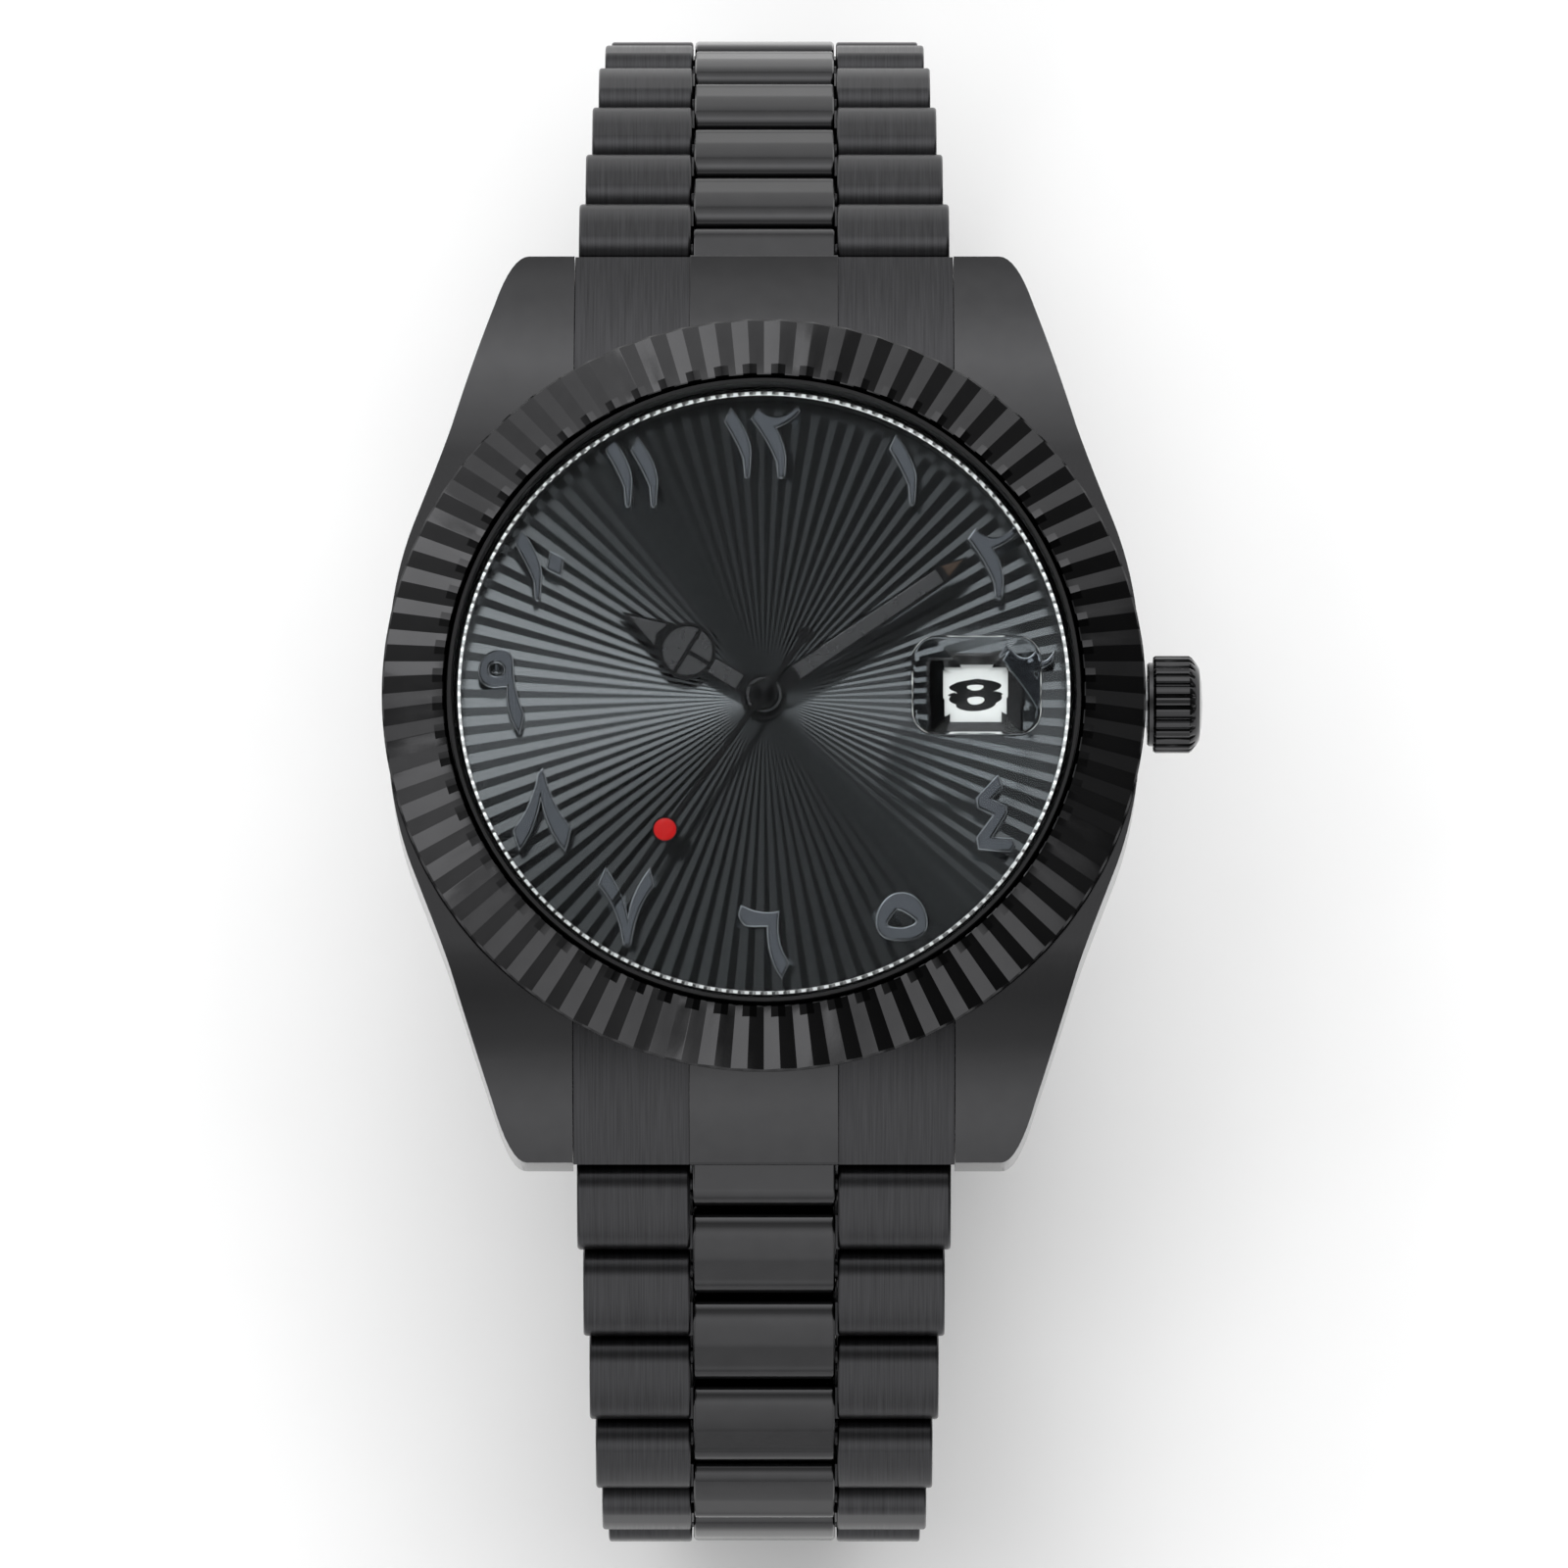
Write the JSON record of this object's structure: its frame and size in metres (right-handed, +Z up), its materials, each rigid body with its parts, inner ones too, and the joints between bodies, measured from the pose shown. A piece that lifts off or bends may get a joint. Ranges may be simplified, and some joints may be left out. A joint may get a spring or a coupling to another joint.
{
  "type": "wristwatch",
  "caption": "Self-winding three-hand wristwatch with date lens, fluted bezel and a tapering link bracelet closed by a folding clasp, standing on the clasp.",
  "frame": {"origin": "on the clasp cover's flat outer face, directly below the centre of the dial", "axes": "+Z up out of the dial, +Y towards 12 o'clock, +X towards 3 o'clock and the crown"},
  "size_m": [0.043, 0.0824, 0.0533],
  "materials": {
    "black_polished": "polished black vapour-deposited coating on stainless steel",
    "black_brushed": "lengthwise brushed black vapour-deposited coating on stainless steel",
    "dial_metal": "sunray dial plate in translucent black lacquer",
    "steel": "fine-ground stainless steel",
    "brass": "plated brass",
    "rubber": "moulded nitrile rubber",
    "white": "matt white lacquered plastic",
    "crystal": "clear flat sapphire"
  },
  "bodies": {
    "head": {"mid_case": "black_polished", "bezel": "black_polished", "crystal": "crystal", "crystal_gasket": "rubber", "date_lens": "crystal", "rehaut_ring": "black_polished", "dial": "dial_metal", "main_plate": "brass", "movement_holder": "white", "train_bridge": "steel", "balance_bridge": "steel", "crown_tube": "steel", "crown_gasket": "rubber", "case_back": "black_brushed", "back_gasket": "rubber", "end_link_12": "black_brushed", "end_link_6": "black_brushed", "spring_bar_12": "steel", "spring_bar_6": "steel"},
    "hour_hand": {"hour_hand": "black_polished"},
    "minute_hand": {"minute_hand": "black_polished", "center_wheel": "brass"},
    "seconds_hand": {"seconds_hand": "black_polished", "seconds_wheel": "brass"},
    "date_disc": {"date_disc": "white"},
    "mainspring_barrel": {"mainspring_barrel": "brass"},
    "balance_wheel": {"balance_wheel": "brass"},
    "rotor": {"rotor": "steel"},
    "winding_pinion": {"winding_pinion": "steel"},
    "crown": {"crown": "black_polished", "winding_stem": "steel"},
    "link_12_01": {"link_12_01": "black_brushed"},
    "link_12_02": {"link_12_02": "black_brushed"},
    "link_12_03": {"link_12_03": "black_brushed"},
    "link_12_04": {"link_12_04": "black_brushed"},
    "link_12_05": {"link_12_05": "black_brushed"},
    "link_12_06": {"link_12_06": "black_brushed"},
    "link_12_07": {"link_12_07": "black_brushed"},
    "link_12_08": {"link_12_08": "black_brushed"},
    "link_12_09": {"link_12_09": "black_brushed"},
    "link_12_10": {"link_12_10": "black_brushed"},
    "link_12_11": {"link_12_11": "black_brushed"},
    "link_6_01": {"link_6_01": "black_brushed"},
    "link_6_02": {"link_6_02": "black_brushed"},
    "link_6_03": {"link_6_03": "black_brushed"},
    "link_6_04": {"link_6_04": "black_brushed"},
    "link_6_05": {"link_6_05": "black_brushed"},
    "link_6_06": {"link_6_06": "black_brushed"},
    "link_6_07": {"link_6_07": "black_brushed"},
    "link_6_08": {"link_6_08": "black_brushed"},
    "link_6_09": {"link_6_09": "black_brushed"},
    "link_6_10": {"link_6_10": "black_brushed"},
    "link_6_11": {"link_6_11": "black_brushed", "clasp_spring_bar": "steel"},
    "clasp_cover": {"clasp_cover": "black_brushed"},
    "clasp_long_blade": {"clasp_long_blade": "steel"},
    "clasp_short_blade": {"clasp_short_blade": "steel"},
    "clasp_button_right": {"clasp_button_right": "black_polished"},
    "clasp_button_left": {"clasp_button_left": "black_polished"}
  },
  "joints": [
    {"name": "seconds_hand_turn", "type": "hinge", "parent": "head", "child": "seconds_hand", "pos_m": [0, 0, 0.05044], "axis": [0, 0, -1], "continuous": true},
    {"name": "minute_hand_turn", "type": "hinge", "parent": "head", "child": "minute_hand", "pos_m": [0, 0, 0.04994], "axis": [0, 0, -1], "continuous": true},
    {"name": "hour_hand_turn", "type": "hinge", "parent": "head", "child": "hour_hand", "pos_m": [0, 0, 0.04934], "axis": [0, 0, -1], "continuous": true},
    {"name": "date_disc_turn", "type": "hinge", "parent": "head", "child": "date_disc", "pos_m": [0, 0, 0.04824], "axis": [0, 0, -1], "continuous": true},
    {"name": "barrel_turn", "type": "hinge", "parent": "head", "child": "mainspring_barrel", "pos_m": [-0.006, 0.0044, 0.04494], "axis": [0, 0, -1], "continuous": true},
    {"name": "balance_swing", "type": "hinge", "parent": "head", "child": "balance_wheel", "pos_m": [0.0045, -0.006, 0.04484], "axis": [0, 0, 1], "range_deg": [-270, 270], "stiffness_Nm_per_rad": 0.000001},
    {"name": "rotor_turn", "type": "hinge", "parent": "head", "child": "rotor", "pos_m": [0, 0, 0.04304], "axis": [0, 0, 1], "continuous": true},
    {"name": "crown_turn", "type": "hinge", "parent": "head", "child": "winding_pinion", "pos_m": [0.0094, 0, 0.04714], "axis": [1, 0, 0], "continuous": true},
    {"name": "crown_pull", "type": "slide", "parent": "winding_pinion", "child": "crown", "axis": [1, 0, 0], "range_m": [0, 0.0012]},
    {"name": "link_12_01_hinge", "type": "hinge", "parent": "head", "child": "link_12_01", "pos_m": [0, 0.02487, 0.0439], "axis": [1, 0, 0], "range_deg": [0, 23]},
    {"name": "link_12_02_hinge", "type": "hinge", "parent": "link_12_01", "child": "link_12_02", "pos_m": [0, 0.02842, 0.0401], "axis": [1, 0, 0], "range_deg": [0, 3]},
    {"name": "link_12_03_hinge", "type": "hinge", "parent": "link_12_02", "child": "link_12_03", "pos_m": [0, 0.0319, 0.03624], "axis": [1, 0, 0], "range_deg": [0, 4]},
    {"name": "link_12_04_hinge", "type": "hinge", "parent": "link_12_03", "child": "link_12_04", "pos_m": [0, 0.03524, 0.03225], "axis": [1, 0, 0], "range_deg": [0, 10]},
    {"name": "link_12_05_hinge", "type": "hinge", "parent": "link_12_04", "child": "link_12_05", "pos_m": [0, 0.03799, 0.02784], "axis": [1, 0, 0], "range_deg": [0, 16]},
    {"name": "link_12_06_hinge", "type": "hinge", "parent": "link_12_05", "child": "link_12_06", "pos_m": [0, 0.0396, 0.0229], "axis": [1, 0, 0], "range_deg": [0, 18]},
    {"name": "link_12_07_hinge", "type": "hinge", "parent": "link_12_06", "child": "link_12_07", "pos_m": [0, 0.03978, 0.0177], "axis": [1, 0, 0], "range_deg": [0, 19]},
    {"name": "link_12_08_hinge", "type": "hinge", "parent": "link_12_07", "child": "link_12_08", "pos_m": [0, 0.03844, 0.01268], "axis": [1, 0, 0], "range_deg": [0, 19]},
    {"name": "link_12_09_hinge", "type": "hinge", "parent": "link_12_08", "child": "link_12_09", "pos_m": [0, 0.03568, 0.00827], "axis": [1, 0, 0], "range_deg": [0, 20]},
    {"name": "link_12_10_hinge", "type": "hinge", "parent": "link_12_09", "child": "link_12_10", "pos_m": [0, 0.0317, 0.00492], "axis": [1, 0, 0], "range_deg": [0, 19]},
    {"name": "link_12_11_hinge", "type": "hinge", "parent": "link_12_10", "child": "link_12_11", "pos_m": [0, 0.02691, 0.00289], "axis": [1, 0, 0], "range_deg": [0, 14]},
    {"name": "link_6_01_hinge", "type": "hinge", "parent": "head", "child": "link_6_01", "pos_m": [0, -0.02487, 0.0439], "axis": [-1, 0, 0], "range_deg": [0, 13]},
    {"name": "link_6_02_hinge", "type": "hinge", "parent": "link_6_01", "child": "link_6_02", "pos_m": [0, -0.02902, 0.04077], "axis": [-1, 0, 0], "range_deg": [0, 3]},
    {"name": "link_6_03_hinge", "type": "hinge", "parent": "link_6_02", "child": "link_6_03", "pos_m": [0, -0.03312, 0.03757], "axis": [-1, 0, 0], "range_deg": [0, 7]},
    {"name": "link_6_04_hinge", "type": "hinge", "parent": "link_6_03", "child": "link_6_04", "pos_m": [0, -0.03692, 0.03402], "axis": [-1, 0, 0], "range_deg": [0, 21]},
    {"name": "link_6_05_hinge", "type": "hinge", "parent": "link_6_04", "child": "link_6_05", "pos_m": [0, -0.03936, 0.02943], "axis": [-1, 0, 0], "range_deg": [0, 24]},
    {"name": "link_6_06_hinge", "type": "hinge", "parent": "link_6_05", "child": "link_6_06", "pos_m": [0, -0.03991, 0.02426], "axis": [-1, 0, 0], "range_deg": [0, 20]},
    {"name": "link_6_07_hinge", "type": "hinge", "parent": "link_6_06", "child": "link_6_07", "pos_m": [0, -0.03883, 0.01918], "axis": [-1, 0, 0], "range_deg": [0, 18]},
    {"name": "link_6_08_hinge", "type": "hinge", "parent": "link_6_07", "child": "link_6_08", "pos_m": [0, -0.03639, 0.01458], "axis": [-1, 0, 0], "range_deg": [0, 17]},
    {"name": "link_6_09_hinge", "type": "hinge", "parent": "link_6_08", "child": "link_6_09", "pos_m": [0, -0.03284, 0.01078], "axis": [-1, 0, 0], "range_deg": [0, 16]},
    {"name": "link_6_10_hinge", "type": "hinge", "parent": "link_6_09", "child": "link_6_10", "pos_m": [0, -0.02848, 0.00795], "axis": [-1, 0, 0], "range_deg": [0, 15]},
    {"name": "link_6_11_hinge", "type": "hinge", "parent": "link_6_10", "child": "link_6_11", "pos_m": [0, -0.02359, 0.00617], "axis": [-1, 0, 0], "range_deg": [0, 11]},
    {"name": "clasp_cover_hinge", "type": "hinge", "parent": "link_12_11", "child": "clasp_cover", "pos_m": [0, 0.02181, 0.0019], "axis": [1, 0, 0], "range_deg": [0, 13]},
    {"name": "clasp_long_blade_hinge", "type": "hinge", "parent": "clasp_cover", "child": "clasp_long_blade", "pos_m": [0, -0.012, 0.0024], "axis": [1, 0, 0], "range_deg": [0, 150]},
    {"name": "clasp_short_blade_hinge", "type": "hinge", "parent": "clasp_long_blade", "child": "clasp_short_blade", "pos_m": [0, 0.0155, 0.0026], "axis": [-1, 0, 0], "range_deg": [0, 150]},
    {"name": "clasp_button_right_press", "type": "slide", "parent": "clasp_cover", "child": "clasp_button_right", "axis": [-1, 0, 0], "range_m": [0, 0.0007], "stiffness_N_per_m": 300},
    {"name": "clasp_button_left_press", "type": "slide", "parent": "clasp_cover", "child": "clasp_button_left", "axis": [1, 0, 0], "range_m": [0, 0.0007], "stiffness_N_per_m": 300}
  ],
  "couplings": [
    {"joint": "minute_hand_turn", "follows": "seconds_hand_turn", "ratio": 0.016667},
    {"joint": "hour_hand_turn", "follows": "seconds_hand_turn", "ratio": 0.0013889},
    {"joint": "date_disc_turn", "follows": "seconds_hand_turn", "ratio": 0.000022401},
    {"joint": "barrel_turn", "follows": "seconds_hand_turn", "ratio": -0.0022222},
    {"joint": "link_12_02_hinge", "follows": "link_12_01_hinge", "ratio": 0.13043},
    {"joint": "link_12_03_hinge", "follows": "link_12_01_hinge", "ratio": 0.17391},
    {"joint": "link_12_04_hinge", "follows": "link_12_01_hinge", "ratio": 0.43478},
    {"joint": "link_12_05_hinge", "follows": "link_12_01_hinge", "ratio": 0.69565},
    {"joint": "link_12_06_hinge", "follows": "link_12_01_hinge", "ratio": 0.78261},
    {"joint": "link_12_07_hinge", "follows": "link_12_01_hinge", "ratio": 0.82609},
    {"joint": "link_12_08_hinge", "follows": "link_12_01_hinge", "ratio": 0.82609},
    {"joint": "link_12_09_hinge", "follows": "link_12_01_hinge", "ratio": 0.86957},
    {"joint": "link_12_10_hinge", "follows": "link_12_01_hinge", "ratio": 0.82609},
    {"joint": "link_12_11_hinge", "follows": "link_12_01_hinge", "ratio": 0.6087},
    {"joint": "link_6_02_hinge", "follows": "link_6_01_hinge", "ratio": 0.23077},
    {"joint": "link_6_03_hinge", "follows": "link_6_01_hinge", "ratio": 0.53846},
    {"joint": "link_6_04_hinge", "follows": "link_6_01_hinge", "ratio": 1.6154},
    {"joint": "link_6_05_hinge", "follows": "link_6_01_hinge", "ratio": 1.8462},
    {"joint": "link_6_06_hinge", "follows": "link_6_01_hinge", "ratio": 1.5385},
    {"joint": "link_6_07_hinge", "follows": "link_6_01_hinge", "ratio": 1.3846},
    {"joint": "link_6_08_hinge", "follows": "link_6_01_hinge", "ratio": 1.3077},
    {"joint": "link_6_09_hinge", "follows": "link_6_01_hinge", "ratio": 1.2308},
    {"joint": "link_6_10_hinge", "follows": "link_6_01_hinge", "ratio": 1.1538},
    {"joint": "link_6_11_hinge", "follows": "link_6_01_hinge", "ratio": 0.84615},
    {"joint": "clasp_cover_hinge", "follows": "link_12_01_hinge", "ratio": 0.56522},
    {"joint": "clasp_long_blade_hinge", "follows": "link_12_01_hinge", "ratio": 6.5217},
    {"joint": "clasp_short_blade_hinge", "follows": "link_12_01_hinge", "ratio": 6.5217}
  ]
}
